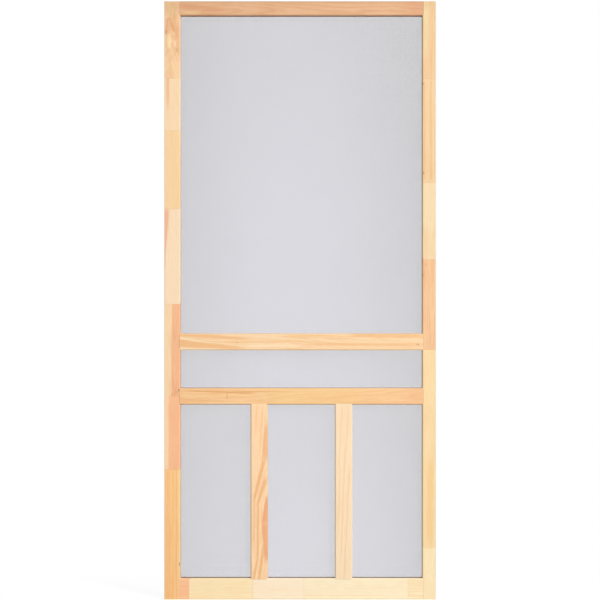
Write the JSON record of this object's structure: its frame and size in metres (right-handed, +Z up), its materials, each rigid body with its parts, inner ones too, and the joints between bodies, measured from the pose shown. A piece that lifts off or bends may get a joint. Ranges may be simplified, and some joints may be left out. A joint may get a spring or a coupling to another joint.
{
  "type": "wooden screen door",
  "caption": "Unfinished pine screen door: finger-jointed stiles and rails, cross bars and uprights, with splined insect mesh in each opening.",
  "frame": {"origin": "bottom of the hinge edge, in the middle of the door's thickness; the hinge edge is the left one seen from the front", "axes": "+X across the door from the hinge edge to the latch edge, +Y from the front face to the back, +Z up"},
  "size_m": [0.922, 0.0254, 2.032],
  "materials": {
    "pine_amber": "unfinished planed amber heartwood pine",
    "pine_salmon": "unfinished planed reddish heartwood pine",
    "pine_russet": "unfinished planed pine with strong grain",
    "pine_cream": "unfinished planed pale sapwood pine",
    "pine_pale": "unfinished planed pale yellow pine",
    "screen_mesh": "vinyl-coated fibreglass insect mesh",
    "screen_spline": "ribbed vinyl cord"
  },
  "bodies": {
    "root": {"left_stile_block_1": "pine_amber", "left_stile_block_2": "pine_salmon", "left_stile_block_3": "pine_salmon", "left_stile_block_4": "pine_cream", "left_stile_block_5": "pine_pale", "left_stile_block_6": "pine_pale", "left_stile_block_7": "pine_russet", "right_stile_block_1": "pine_cream", "right_stile_block_2": "pine_pale", "right_stile_block_3": "pine_salmon", "right_stile_block_4": "pine_cream", "right_stile_block_5": "pine_pale", "right_stile_block_6": "pine_pale", "bottom_rail_block_1": "pine_salmon", "bottom_rail_block_2": "pine_cream", "bottom_rail_block_3": "pine_cream", "bottom_rail_block_4": "pine_cream", "bottom_rail_block_5": "pine_russet", "top_rail": "pine_russet", "upper_cross_bar": "pine_pale", "lower_cross_bar": "pine_salmon", "left_upright": "pine_pale", "right_upright": "pine_cream", "upper_screen": "screen_mesh", "middle_screen": "screen_mesh", "lower_left_screen": "screen_mesh", "lower_centre_screen": "screen_mesh", "lower_right_screen": "screen_mesh", "upper_spline": "screen_spline", "middle_spline": "screen_spline", "lower_left_spline": "screen_spline", "lower_centre_spline": "screen_spline", "lower_right_spline": "screen_spline"}
  },
  "joints": []
}
